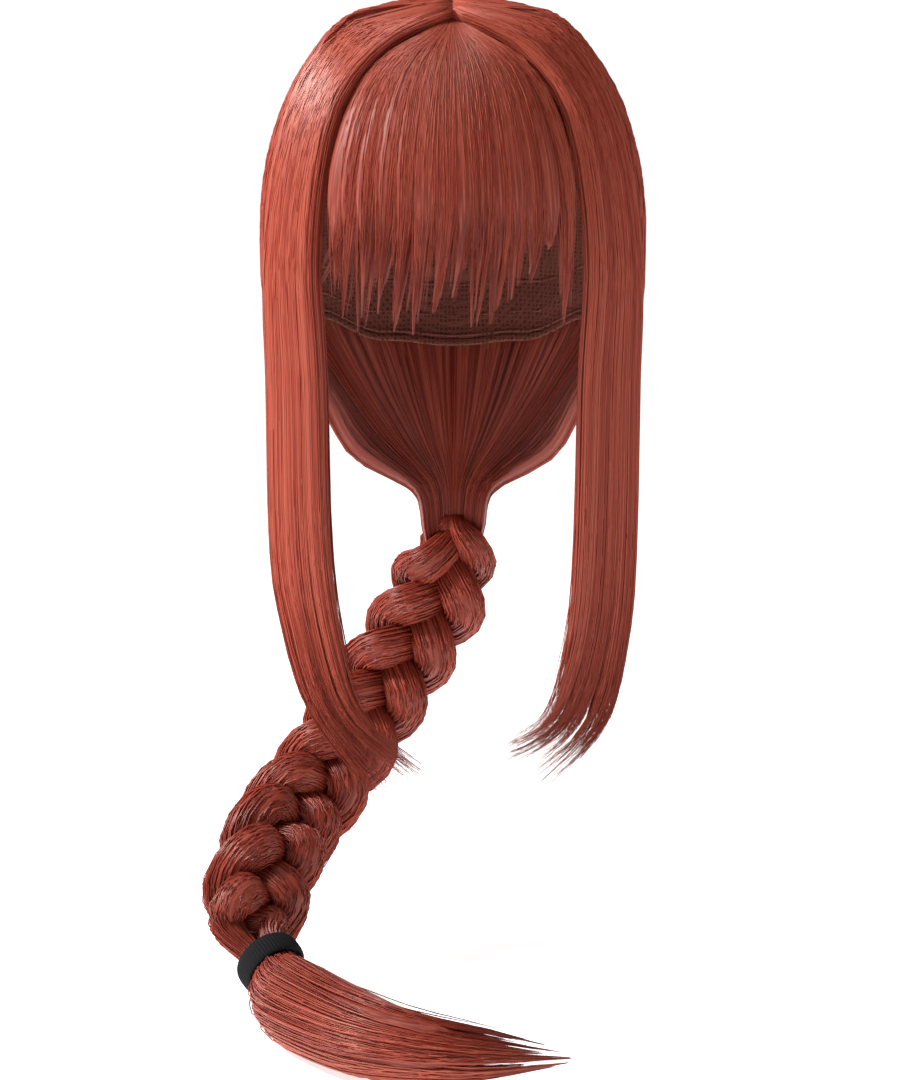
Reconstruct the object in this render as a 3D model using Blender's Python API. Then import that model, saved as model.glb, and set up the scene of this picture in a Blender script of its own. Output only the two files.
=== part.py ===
"""A cosplay wig: a cloth cap, parted crown hair, a fringe, two long side locks and a low braid.

Metres, +Z up. The face looks along -Y. The origin is the top of the hollow that the head fills.
"""

import math

import bmesh
import bpy
from mathutils import Matrix, Vector

# Head and cap
HEAD_WIDTH = 0.146
HEAD_DEPTH = 0.184
HEAD_HEIGHT = 0.186
FORM_POWER = 2.15  # above 2, the head's section is fuller than an ellipse
CAP_WALL = 0.0015
CAP_DEPTH = 0.150  # crown to nape edge
CAP_COLUMNS = 36
CAP_ROWS = 7
CAP_TOP_DISC = 0.05  # share of the wall taken by the flat disc at the very top

# Hair over the cap
CAP_CLEARANCE = 0.0018
LOCK_CLEARANCE = 0.0003
FORM_BLEND = 0.008  # share of the form's size over which hair settles on to it
HAIR_THICKNESS = 0.0080
PARTING_THICKNESS = 0.0025
PARTING_GAP = 0.0002
PANEL_GAP = 0.0014
RIB_DEPTH = 0.0014
RIBS = 5
PARTING_RISE = 0.14  # share of the flow over which the hair reaches its full thickness
PANEL_GAP_END = (0.5, 0.9)  # shares of the flow between which the gap to the side lock closes
NAPE_LEVEL = 0.6  # share of the flow past which the hair thickens level, not away from the head
CROWN_COLUMNS = 20
CROWN_ROWS = 14
NAPE_DROP = 0.215  # crown to the hollow of the nape

# Fringe
FRINGE_DROP = 0.138
FRINGE_LOCK_WIDTH = 0.0132
FRINGE_LOCK_THICKNESS = 0.0066
FRINGE_RINGS = 7
FRINGE_ROOT = (0.55, 0.35)  # share of the length that widens, and the width share it starts at
FRINGE_TIP = (0.78, 0.05)  # share of the length where the tip starts, and its last width share
FRINGE_LEAST_THICKNESS = 0.12

# Side locks
LOCK_DROP = 0.338
LOCK_THICKNESS = 0.0090
LOCK_RINGS = 13
LOCK_STRAND_HALF = 0.15  # half width of a strand as a share of the lock's width
LOCK_ROOT = (0.15, 0.4)  # share of the length that thickens, and the thickness it starts at
LOCK_LEVEL = (0.35, 0.6)  # shares of the length between which the lock turns to hang straight
LOCK_TIP = (0.80, 0.07)  # share of the length where the tip starts, and its last width share

# Braid, tie and tail
BRAID_DROP = 0.191
BRAID_WIDTH = 0.044
BRAID_THICKNESS = 0.032
STRAND_WIDTH = 0.0125
STRAND_THICKNESS = 0.0097
BRAID_TURNS = 3
BRAID_RINGS = 40
NAPE_PART = (0.02, 0.12)  # shares of the braid between which its strands spread from the nape
NAPE_SWING = 0.72
NAPE_SIZE = 0.62
TIE_PART = (0.90, 0.97)  # shares of the braid between which its strands draw into the tie
WOVEN_PART = (0.02, 0.92)
TIE_FILL = 0.92
TIE_OUTER = 0.030
TIE_WALL = 0.0028
TIE_WIDTH = 0.011
TIE_SIDES = 24
TIE_GAP = 0.0003
END_GAP = 0.0008
TAIL_WIDTH = 0.036
TAIL_RINGS = 11
TAIL_STEPS = 88  # fine steps along the tail's middle line
TAIL_BUNCHING = 1.5  # above 1, the rings stand closer near the tie
TAIL_CORE = 0.7  # half width of the tail's middle lock as a share of the outer locks' distance
SECTION_SIDES = 6
STRAND_SIDES = 8

HAIR_HALF = (
    HEAD_WIDTH / 2 + CAP_WALL + CAP_CLEARANCE + HAIR_THICKNESS,
    HEAD_DEPTH / 2 + CAP_WALL + CAP_CLEARANCE + HAIR_THICKNESS,
)
CAP_HALF = (
    HEAD_WIDTH / 2 + CAP_WALL + CAP_CLEARANCE,
    HEAD_DEPTH / 2 + CAP_WALL + CAP_CLEARANCE,
)
HEAD_CENTRE = Vector((0, 0, -HEAD_HEIGHT / 2))
UNDER_HAIR = CAP_WALL + CAP_CLEARANCE
UNDER_LOCKS = CAP_WALL + LOCK_CLEARANCE

# Cap edge: degrees round from the face, and height down as a share of CAP_DEPTH
CAP_EDGE = (
    (0, 0.33),
    (35, 0.36),
    (60, 0.50),
    (80, 0.76),
    (100, 0.74),
    (125, 0.90),
    (155, 0.98),
    (180, 1.00),
)

# Crown hair on the right: three flow lines from parting to nape. Each point is
# (across, back, down) as shares of half the cap's width, half its depth and NAPE_DROP.
CROWN_FLOWS = (
    (
        (0.0, -0.25, 0.0),
        (0.54, -0.385, -0.04),
        (0.82, -0.44, -0.22),
        (0.93, -0.425, -0.45),
        (0.97, -0.20, -0.62),
        (0.72, 0.18, -0.78),
        (0.56, 0.42, -0.90),
        (0.24, 0.68, -1.00),
        (0.18, 0.73, -1.07),
    ),
    (
        (0.0, 0.10, 0.0),
        (0.50, 0.20, -0.04),
        (0.84, 0.30, -0.20),
        (0.93, 0.36, -0.42),
        (0.86, 0.50, -0.60),
        (0.62, 0.64, -0.77),
        (0.38, 0.72, -0.90),
        (0.14, 0.76, -1.00),
        (0.10, 0.77, -1.07),
    ),
    (
        (0.0, 0.40, 0.0),
        (0.0, 0.66, -0.06),
        (0.0, 0.90, -0.22),
        (0.0, 0.99, -0.42),
        (0.0, 0.95, -0.60),
        (0.0, 0.87, -0.77),
        (0.0, 0.81, -0.90),
        (0.0, 0.78, -1.00),
        (0.0, 0.77, -1.07),
    ),
)

# Route of a fringe lock down to the brow: share of its place across, share of FRINGE_DROP
FRINGE_ROUTE = ((0.12, 0.07), (0.63, 0.19), (0.90, 0.41), (1.00, 0.66))

# Fringe locks: across at the brow and at the tip as shares of half the hair's width,
# tip height and width as shares of FRINGE_DROP and FRINGE_LOCK_WIDTH
FRINGE_LOCKS = (
    (-0.565, -0.59, 0.87, 0.95),
    (-0.50, -0.54, 0.93, 1.00),
    (-0.42, -0.46, 1.00, 1.00),
    (-0.33, -0.38, 0.98, 0.92),
    (-0.24, -0.30, 0.97, 0.92),
    (-0.15, -0.19, 0.975, 1.00),
    (-0.05, -0.11, 0.93, 1.00),
    (0.05, -0.02, 0.91, 1.00),
    (0.14, 0.10, 0.96, 1.00),
    (0.23, 0.19, 0.945, 0.96),
    (0.31, 0.28, 0.92, 0.92),
    (0.39, 0.37, 0.82, 0.90),
    (0.475, 0.465, 0.72, 0.90),
    (0.562, 0.54, 0.96, 0.80),
)

# Side locks: edge nearer the face and edge nearer the ear. Each point is (across, back, down)
# as shares of half the hair's width, half its depth and LOCK_DROP.
INNER_EDGE = (
    (0.03, -0.52, 0.0),
    (0.34, -0.60, -0.05),
    (0.57, -0.69, -0.13),
    (0.67, -0.72, -0.29),
    (0.64, -0.70, -0.45),
    (0.62, -0.68, -0.66),
)
OUTER_EDGE = (
    (0.03, -0.27, 0.0),
    (0.52, -0.40, -0.03),
    (0.80, -0.44, -0.14),
    (0.925, -0.45, -0.30),
    (0.925, -0.45, -0.47),
    (0.92, -0.46, -0.67),
)
LEFT_INNER_END = ((0.55, -0.70, -0.79), (0.41, -0.74, -0.885), (0.04, -0.78, -0.945))
LEFT_OUTER_END = ((0.87, -0.50, -0.765), (0.73, -0.58, -0.885), (0.40, -0.66, -1.0))
RIGHT_INNER_END = ((0.57, -0.70, -0.79), (0.42, -0.74, -0.885), (0.13, -0.78, -0.91))
RIGHT_OUTER_END = ((0.89, -0.50, -0.785), (0.79, -0.58, -0.90), (0.49, -0.66, -0.985))

# Strands of a side lock: place between its two edges, and length as a share of the edge's
LOCK_STRANDS = ((0.16, 0.985), (0.33, 1.00), (0.50, 0.975), (0.67, 0.99), (0.84, 1.00))

# Braid route from nape to tie: across, back and down as shares of half the hair's width,
# half its depth and BRAID_DROP
BRAID_ROUTE = (
    (0.0, 0.73, 0.0),
    (-0.01, 0.735, -0.09),
    (-0.09, 0.76, -0.20),
    (-0.35, 0.745, -0.39),
    (-0.68, 0.62, -0.61),
    (-0.90, 0.40, -0.72),
    (-0.98, 0.17, -0.768),
    (-1.055, 0.0, -0.85),
    (-1.06, -0.175, -0.93),
    (-0.96, -0.30, -0.978),
)

# Tail route from the tie, in the same shares
TAIL_ROUTE = (
    (-0.86, -0.60, -0.995),
    (-0.76, -0.92, -0.985),
    (-0.44, -1.32, -0.985),
    (-0.107, -1.48, -0.99),
    (0.23, -1.415, -1.012),
    (0.595, -1.26, -1.044),
)

# Tail locks: turn round the tail in degrees, length share
TAIL_LOCKS = ((0, 0.93), (60, 1.00), (120, 0.90), (180, 0.96), (240, 0.88), (300, 0.97))
# Tail form: along, distance of a lock from the middle, half width of a lock, as shares of half TAIL_WIDTH
TAIL_FORM = (
    (0.00, 0.33, 0.26),
    (0.05, 0.33, 0.26),
    (0.13, 0.44, 0.38),
    (0.30, 0.52, 0.50),
    (0.55, 0.50, 0.46),
    (0.80, 0.32, 0.32),
    (1.00, 0.12, 0.03),
)


def level(point, lift):
    """1 on the head form grown by lift, less inside it."""
    half = (HEAD_WIDTH / 2 + lift, HEAD_DEPTH / 2 + lift, HEAD_HEIGHT / 2 + lift)
    offset = point - HEAD_CENTRE
    total = sum(abs(along / size) ** FORM_POWER for along, size in zip(offset, half))
    return total ** (1 / FORM_POWER)


def hug(point, lift):
    """The point pushed out to the head form grown by lift, and left alone well outside it."""
    now = level(point, lift)
    pushed = max(now, 1)
    if abs(now - 1) < FORM_BLEND:
        pushed = 1 + (now - 1 + FORM_BLEND) ** 2 / (4 * FORM_BLEND)
    return HEAD_CENTRE + (point - HEAD_CENTRE) * (pushed / now)


def form_front(across, down, lift):
    """The point on the face side of the grown head form at this place across and down."""
    half = (HEAD_WIDTH / 2 + lift, HEAD_DEPTH / 2 + lift, HEAD_HEIGHT / 2 + lift)
    used = abs(across / half[0]) ** FORM_POWER
    used += abs((down - HEAD_CENTRE.z) / half[2]) ** FORM_POWER
    depth = half[1] * max(1 - used, 0.02) ** (1 / FORM_POWER)
    return Vector((across, -depth, down))


def form_round(turn, down, lift):
    """The point of the grown head form at this turn from the face and this height."""
    half = (HEAD_WIDTH / 2 + lift, HEAD_DEPTH / 2 + lift, HEAD_HEIGHT / 2 + lift)
    level_share = abs((down - HEAD_CENTRE.z) / half[2]) ** FORM_POWER
    reach = max(1 - level_share, 0) ** (1 / FORM_POWER)
    across, front = math.sin(turn), -math.cos(turn)
    total = abs(across / half[0]) ** FORM_POWER + abs(front / half[1]) ** FORM_POWER
    radius = reach / total ** (1 / FORM_POWER)
    return Vector((across * radius, front * radius, down))


def along_rows(rows, share):
    """The row at this share of the way along a table, read from a smooth curve through it."""
    place = min(max(share, 0), 1) * (len(rows) - 1)
    index = min(int(place), len(rows) - 2)
    part = place - index
    before = rows[max(index - 1, 0)]
    start = rows[index]
    end = rows[index + 1]
    after = rows[min(index + 2, len(rows) - 1)]
    result = []
    for a, b, c, d in zip(before, start, end, after):
        cubic = -a + 3 * b - 3 * c + d
        square = 2 * a - 5 * b + 4 * c - d
        result.append(b + 0.5 * part * (c - a + part * (square + part * cubic)))
    return result


def evenly(rows, count, fineness=12):
    """Points at even distances along the smooth curve through the rows."""
    steps = fineness * len(rows)
    fine = [Vector(along_rows(rows, step / steps)) for step in range(steps + 1)]
    reached = [0.0]
    for before, after in zip(fine, fine[1:]):
        reached.append(reached[-1] + (after - before).length)
    points = []
    index = 0
    for place in range(count + 1):
        wanted = reached[-1] * place / count
        while index < steps - 1 and reached[index + 1] < wanted:
            index += 1
        part = (wanted - reached[index]) / (reached[index + 1] - reached[index])
        points.append(fine[index].lerp(fine[index + 1], part))
    return points


def between(table, share):
    """The columns after the first, read straight between the rows on either side of share."""
    for low, high in zip(table, table[1:]):
        if share <= high[0]:
            part = (share - low[0]) / (high[0] - low[0])
            return [a + (b - a) * part for a, b in zip(low[1:], high[1:])]
    return list(table[-1][1:])


def placed(shares, drop, side=1, half=HAIR_HALF):
    across, back, down = shares
    return Vector((side * across * half[0], back * half[1], down * drop))


def smooth_step(low, high, value):
    part = min(max((value - low) / (high - low), 0), 1)
    return part * part * (3 - 2 * part)


def tangents(points):
    """The direction of the line through the points at each of them."""
    ahead = points[1:] + points[-1:]
    behind = points[:1] + points[:-1]
    return [(after - before).normalized() for after, before in zip(ahead, behind)]


def frames_along(points, first_out):
    """Tangent, outward and sideways directions at each point, turning as little as they can."""
    frames = []
    out = first_out
    for tangent in tangents(points):
        out = (out - tangent * out.dot(tangent)).normalized()
        frames.append((tangent, out, tangent.cross(out)))
    return frames


def loft_mesh(rings, ends="face"):
    """A closed mesh through rings of equal count. Its ends are one face, or strips for a bent section."""
    mesh = bmesh.new()
    made = [[mesh.verts.new(point) for point in ring] for ring in rings]
    count = len(rings[0])
    for lower, upper in zip(made, made[1:]):
        for index in range(count):
            after = (index + 1) % count
            mesh.faces.new((lower[index], lower[after], upper[after], upper[index]))
    for ring in (made[0], made[-1]):
        if ends == "face":
            mesh.faces.new(ring)
            continue
        for index in range(count // 2 - 1):
            back = count - 1 - index
            mesh.faces.new((ring[index], ring[index + 1], ring[back - 1], ring[back]))
    bmesh.ops.recalc_face_normals(mesh, faces=mesh.faces[:])
    if mesh.calc_volume(signed=True) < 0:
        bmesh.ops.reverse_faces(mesh, faces=mesh.faces[:])
    return mesh


def add_piece(name, mesh, material):
    data = bpy.data.meshes.new(name)
    mesh.to_mesh(data)
    mesh.free()
    data.shade_smooth()
    piece = bpy.data.objects.new(name, data)
    data.materials.append(material)
    bpy.data.collections["cosplay_wig"].objects.link(piece)
    return piece


def fuse(name, meshes, material):
    """One body made from overlapping locks."""
    piece = add_piece(name, meshes[0], material)
    for extra in meshes[1:]:
        lock = add_piece(name + "_lock", extra, material)
        union = piece.modifiers.new("fuse", "BOOLEAN")
        union.operation = "UNION"
        union.object = lock
        graph = bpy.context.evaluated_depsgraph_get()
        fused = bpy.data.meshes.new_from_object(piece.evaluated_get(graph))
        piece.modifiers.remove(union)
        spent = piece.data
        piece.data = fused
        bpy.data.meshes.remove(spent)
        bpy.data.objects.remove(lock)
    piece.data.name = name
    return piece


def section(centre, sideways, out, half_width, half_thickness, sides):
    """One closed ring of a lock."""
    ring = []
    for index in range(sides):
        turn = math.tau * index / sides
        across = sideways * (math.cos(turn) * half_width)
        ring.append(centre + across + out * (math.sin(turn) * half_thickness))
    return ring


def cap_edge_height(turn):
    degrees = abs(math.degrees(turn))
    for low, high in zip(CAP_EDGE, CAP_EDGE[1:]):
        if degrees <= high[0]:
            part = smooth_step(low[0], high[0], degrees)
            return -CAP_DEPTH * (low[1] + (high[1] - low[1]) * part)
    return -CAP_DEPTH * CAP_EDGE[-1][1]


def cap_ring(share, lift):
    """A ring of the cap between its top, at share 0, and its edge."""
    # Heights bunch near the top, where the form is flat
    steep = math.sin(share * math.pi / 2) ** 2
    ring = []
    for column in range(CAP_COLUMNS):
        turn = math.tau * column / CAP_COLUMNS - math.pi
        down = lift + (cap_edge_height(turn) - lift) * steep
        ring.append(form_round(turn, down, lift))
    return ring


def make_cap(material):
    shares = [
        CAP_TOP_DISC + (1 - CAP_TOP_DISC) * row / CAP_ROWS for row in range(CAP_ROWS + 1)
    ]
    inside = [cap_ring(share, 0) for share in shares]
    outside = [cap_ring(share, CAP_WALL) for share in reversed(shares)]
    return add_piece("cap", loft_mesh(inside + outside), material)


def crown_point(across_share, along_share):
    """Middle line point of the crown hair: which flow line, and how far along it."""
    rows = [along_rows(flow, along_share) for flow in CROWN_FLOWS]
    return along_rows(rows, across_share)


def make_crown(name, side, material):
    rings = []
    for row in range(CROWN_ROWS + 1):
        along = row / CROWN_ROWS
        outer = []
        inner = []
        for column in range(CROWN_COLUMNS + 1):
            across = column / CROWN_COLUMNS
            point = placed(crown_point(across, along), NAPE_DROP, side, CAP_HALF)
            point.x += side * PARTING_GAP
            point.y += PANEL_GAP * (1 - across) * (1 - smooth_step(*PANEL_GAP_END, along))
            rise = smooth_step(0, PARTING_RISE, along)
            thick = PARTING_THICKNESS + (HAIR_THICKNESS - PARTING_THICKNESS) * rise
            thick -= rise * RIB_DEPTH * math.sin(math.pi * RIBS * across) ** 2
            near = hug(point, UNDER_HAIR)
            out = (near - HEAD_CENTRE).normalized()
            out.z *= 1 - smooth_step(NAPE_LEVEL, 1, along)
            out.normalize()
            inner.append(near)
            outer.append(hug(near + out * thick, UNDER_HAIR + thick))
        rings.append(outer + inner[::-1])
    return add_piece(name, loft_mesh(rings, ends="strips"), material)


def fringe_lock(brow, tip, tip_drop, width_share):
    brow_across = brow * HAIR_HALF[0]
    rest = UNDER_LOCKS + FRINGE_LOCK_THICKNESS / 2
    route = [(brow_across * across, -FRINGE_DROP * down) for across, down in FRINGE_ROUTE]
    route.append((tip * HAIR_HALF[0], -FRINGE_DROP * tip_drop))
    points = []
    for ring in range(FRINGE_RINGS + 1):
        across, down = along_rows(route, ring / FRINGE_RINGS)
        points.append(form_front(across, down, rest))
    rings = []
    for ring, tangent in enumerate(tangents(points)):
        along = ring / FRINGE_RINGS
        out = points[ring] - HEAD_CENTRE
        out = (out - tangent * out.dot(tangent)).normalized()
        wide = FRINGE_ROOT[1] + (1 - FRINGE_ROOT[1]) * smooth_step(0, FRINGE_ROOT[0], along)
        taper = 1 - (1 - FRINGE_TIP[1]) * smooth_step(FRINGE_TIP[0], 1, along)
        half = FRINGE_LOCK_WIDTH * width_share / 2 * wide * taper
        thick = FRINGE_LOCK_THICKNESS / 2 * max(taper, FRINGE_LEAST_THICKNESS)
        ring_points = section(points[ring], tangent.cross(out), out, half, thick, SECTION_SIDES)
        rings.append([hug(point, UNDER_LOCKS) for point in ring_points])
    return loft_mesh(rings)


def make_fringe(material):
    return fuse("fringe", [fringe_lock(*row) for row in FRINGE_LOCKS], material)


def side_strand(side, inner_edge, outer_edge, place, length):
    points = []
    widths = []
    for ring in range(LOCK_RINGS + 1):
        along = length * ring / LOCK_RINGS
        inner = placed(along_rows(inner_edge, along), LOCK_DROP, side)
        outer = placed(along_rows(outer_edge, along), LOCK_DROP, side)
        middle = inner + (outer - inner) * place
        middle.x += side * PARTING_GAP
        points.append(hug(middle, UNDER_LOCKS + LOCK_THICKNESS / 2))
        widths.append((outer - inner).length)
    rings = []
    for ring, tangent in enumerate(tangents(points)):
        along = ring / LOCK_RINGS
        out = points[ring] - HEAD_CENTRE
        out.z *= 1 - smooth_step(*LOCK_LEVEL, along)
        out = (out - tangent * out.dot(tangent)).normalized()
        taper = 1 - (1 - LOCK_TIP[1]) * smooth_step(LOCK_TIP[0], 1, along)
        rise = LOCK_ROOT[1] + (1 - LOCK_ROOT[1]) * smooth_step(0, LOCK_ROOT[0], along)
        half = widths[ring] * LOCK_STRAND_HALF * taper
        thick = LOCK_THICKNESS / 2 * taper * rise
        ring_points = section(points[ring], tangent.cross(out), out, half, thick, SECTION_SIDES)
        rings.append([hug(point, UNDER_LOCKS) for point in ring_points])
    return loft_mesh(rings)


def make_side_lock(name, side, inner_end, outer_end, material):
    inner_edge = INNER_EDGE + inner_end
    outer_edge = OUTER_EDGE + outer_end
    strands = [side_strand(side, inner_edge, outer_edge, *row) for row in LOCK_STRANDS]
    return fuse(name, strands, material)


def below_nape(shares):
    """A place given as shares, with its drop counted from the end of the crown hair."""
    point = placed(shares, BRAID_DROP)
    point.z += NAPE_DROP * CROWN_FLOWS[0][-1][2] - END_GAP
    return tuple(point)


def braid_points(count):
    return evenly([below_nape(shares) for shares in BRAID_ROUTE], count)


def strand_offset(turn, sideways, out, size=1):
    """Where the middle of a braid strand lies off the middle of the braid at this turn."""
    swing_side = (BRAID_WIDTH - STRAND_WIDTH) / 2
    swing_out = (BRAID_THICKNESS - STRAND_THICKNESS) / 2
    across = sideways * (math.cos(turn) * swing_side)
    return (across + out * (math.sin(2 * turn) * swing_out)) * size


def make_braid_strand(name, phase, material):
    middle = braid_points(BRAID_RINGS)
    frames = frames_along(middle, Vector((0, 1, 0)))
    first_turn = phase + math.pi / 3
    bore = TIE_OUTER / 2 - TIE_WALL - TIE_GAP
    packed = bore / (1 + 2 / math.sqrt(3))
    centres = []
    sizes = []
    for index, (_, out, sideways) in enumerate(frames):
        along = index / BRAID_RINGS
        opening = smooth_step(*NAPE_PART, along)
        closing = smooth_step(*TIE_PART, along)
        woven_share = (along - WOVEN_PART[0]) / (WOVEN_PART[1] - WOVEN_PART[0])
        turn = first_turn + math.tau * BRAID_TURNS * min(max(woven_share, 0), 1)
        swing = NAPE_SWING + (1 - NAPE_SWING) * opening
        woven = strand_offset(turn, sideways, out, swing)
        bound = sideways * math.cos(first_turn) + out * math.sin(first_turn)
        bound *= bore - packed
        centres.append(middle[index] + woven.lerp(bound, closing))
        loose = (NAPE_SIZE + (1 - NAPE_SIZE) * opening) * (1 - closing)
        bound_radius = packed * TIE_FILL * closing
        wide = STRAND_WIDTH / 2 * loose + bound_radius
        thick = STRAND_THICKNESS / 2 * loose + bound_radius
        sizes.append((wide, thick))
    rings = []
    for index, tangent in enumerate(tangents(centres)):
        facing = frames[index][1]
        facing = (facing - tangent * facing.dot(tangent)).normalized()
        across = tangent.cross(facing)
        rings.append(section(centres[index], across, facing, *sizes[index], STRAND_SIDES))
    return add_piece(name, loft_mesh(rings), material)


def tie_frame():
    middle = braid_points(BRAID_RINGS)
    tangent, out, sideways = frames_along(middle, Vector((0, 1, 0)))[-1]
    return middle[-1], tangent, out, sideways


def make_hair_tie(material):
    """A ring round the end of the braid, stretched along it to a band."""
    centre, tangent, out, sideways = tie_frame()
    bpy.ops.mesh.primitive_torus_add(
        major_segments=TIE_SIDES,
        minor_segments=STRAND_SIDES,
        major_radius=(TIE_OUTER - TIE_WALL) / 2,
        minor_radius=TIE_WALL / 2,
    )
    tie = bpy.context.object
    tie.name = "hair_tie"
    turned = Matrix((out, sideways, tangent)).transposed().to_4x4()
    turned.translation = centre
    tie.matrix_world = turned @ Matrix.Diagonal((1, 1, TIE_WIDTH / TIE_WALL, 1))
    tie.data.materials.append(material)
    tie.data.shade_smooth()
    for holder in list(tie.users_collection):
        holder.objects.unlink(tie)
    bpy.data.collections["cosplay_wig"].objects.link(tie)


def tail_points(count):
    centre, tangent, _, _ = tie_frame()
    rows = [tuple(centre + tangent * reach) for reach in (END_GAP, TIE_WIDTH / 2, TIE_WIDTH)]
    rows += [below_nape(shares) for shares in TAIL_ROUTE]
    return evenly(rows, count)


def tail_lock(turn, length, stagger, core=False):
    _, _, first_out, _ = tie_frame()
    middle = tail_points(TAIL_STEPS)
    frames = frames_along(middle, first_out)
    rings = []
    for ring in range(TAIL_RINGS + 1):
        along = (ring / TAIL_RINGS) ** TAIL_BUNCHING
        index = round(length * along * TAIL_STEPS)
        tangent, out, sideways = frames[index]
        away, half = between(TAIL_FORM, along)
        if core:
            away, half = 0, max(away * TAIL_CORE, half)
        around = sideways * math.cos(turn) + out * math.sin(turn)
        centre = middle[index] + around * (away * TAIL_WIDTH / 2)
        if ring == 0:
            centre += tangent * stagger
        radius = half * TAIL_WIDTH / 2
        rings.append(section(centre, sideways, out, radius, radius, SECTION_SIDES))
    return loft_mesh(rings)


def make_tail(material):
    step = END_GAP / 2
    shortest = min(length for _, length in TAIL_LOCKS)
    locks = [tail_lock(math.pi / STRAND_SIDES, shortest, step * len(TAIL_LOCKS), core=True)]
    for index, (turn, length) in enumerate(TAIL_LOCKS):
        locks.append(tail_lock(math.radians(turn), length, step * index))
    return fuse("braid_tail", locks, material)


def make_material(name, colour, roughness):
    material = bpy.data.materials.new(name)
    material.use_nodes = True
    shader = material.node_tree.nodes["Principled BSDF"]
    shader.inputs["Base Color"].default_value = (*colour, 1)
    shader.inputs["Roughness"].default_value = roughness
    shader.inputs["Metallic"].default_value = 0
    material.diffuse_color = (*colour, 1)
    return material


def main():
    for startup in list(bpy.data.objects):
        bpy.data.objects.remove(startup)
    collection = bpy.data.collections.new("cosplay_wig")
    bpy.context.scene.collection.children.link(collection)
    hair = make_material("copper_hair", (0.38, 0.075, 0.045), 0.45)
    cloth = make_material("cap_cloth", (0.30, 0.08, 0.055), 0.85)
    elastic = make_material("black_elastic", (0.012, 0.013, 0.014), 0.8)
    make_cap(cloth)
    make_crown("crown_hair_left", -1, hair)
    make_crown("crown_hair_right", 1, hair)
    make_fringe(hair)
    make_side_lock("side_lock_left", -1, LEFT_INNER_END, LEFT_OUTER_END, hair)
    make_side_lock("side_lock_right", 1, RIGHT_INNER_END, RIGHT_OUTER_END, hair)
    for index in range(3):
        make_braid_strand(f"braid_strand_{index + 1}", math.tau * index / 3, hair)
    make_hair_tie(elastic)
    make_tail(hair)


main()
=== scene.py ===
"""The looks of the wig: fine strands over smooth bodies of hair, cloth cap, elastic tie and studio.

Metres, +Z up. The face looks along -Y. The origin is the top of the hollow that the head fills.
"""

import math

import bpy
import numpy as np
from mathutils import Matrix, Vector


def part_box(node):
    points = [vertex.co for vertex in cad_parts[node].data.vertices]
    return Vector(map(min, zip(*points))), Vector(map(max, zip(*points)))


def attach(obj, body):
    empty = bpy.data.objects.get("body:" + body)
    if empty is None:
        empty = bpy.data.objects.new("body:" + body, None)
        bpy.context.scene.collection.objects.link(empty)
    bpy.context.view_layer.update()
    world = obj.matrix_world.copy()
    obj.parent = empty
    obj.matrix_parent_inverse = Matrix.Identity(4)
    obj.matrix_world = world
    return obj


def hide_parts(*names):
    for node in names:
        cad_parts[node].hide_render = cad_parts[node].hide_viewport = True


TAU = math.tau

# Camera: where it looks, how far off, how far it tips down, and its lens for a 24 mm tall sensor
CAMERA_TARGET = (0.0035, 0.0, -0.232)
CAMERA_DISTANCE = 1.5
CAMERA_PITCH = math.radians(8)
CAMERA_LENS = 74.9
CAMERA_SENSOR = 24.0

# Head form and cap
HEAD_HALF = np.array((0.073, 0.092, 0.093))
HEAD_CENTRE = np.array((0, 0, -0.093))
FORM_POWER = 2.15
FORM_BLEND = 0.008
CAP_WALL = 0.0015
CAP_DEPTH = 0.150
CAP_CLEARANCE = 0.0018
LOCK_CLEARANCE = 0.0003
UNDER_HAIR = CAP_WALL + CAP_CLEARANCE
UNDER_LOCKS = CAP_WALL + LOCK_CLEARANCE

# Hair over the cap
HAIR_THICKNESS = 0.0080
PARTING_THICKNESS = 0.0025
PARTING_GAP = 0.0002
PARTING_RISE = 0.14
FRONT_COVER = 0.0016  # how far the crown hair's front edge reaches towards the side locks
RIB_DEPTH = 0.0014
RIBS = 5
NAPE_DROP = 0.215
NAPE_LEVEL = 0.6
CAP_HALF = HEAD_HALF[:2] + UNDER_HAIR
HAIR_HALF = CAP_HALF + HAIR_THICKNESS

# Fringe, side locks, braid, tie and tail
FRINGE_DROP = 0.138
FRINGE_LOCK_WIDTH = 0.0132
FRINGE_LOCK_THICKNESS = 0.0066
LOCK_DROP = 0.338
LOCK_THICKNESS = 0.0090
BRAID_DROP = 0.191
BRAID_WIDTH = 0.044
BRAID_THICKNESS = 0.032
BRAID_TURNS = 3
STRAND_WIDTH = 0.0125
STRAND_THICKNESS = 0.0097
TIE_OUTER = 0.030
TIE_WALL = 0.0028
TIE_WIDTH = 0.011
END_GAP = 0.0008
TAIL_WIDTH = 0.036

# Cap edge: degrees round from the face, and height down as a share of CAP_DEPTH
CAP_EDGE = (
    (0, 0.33),
    (35, 0.36),
    (60, 0.50),
    (80, 0.76),
    (100, 0.74),
    (125, 0.90),
    (155, 0.98),
    (180, 1.00),
)

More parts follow.
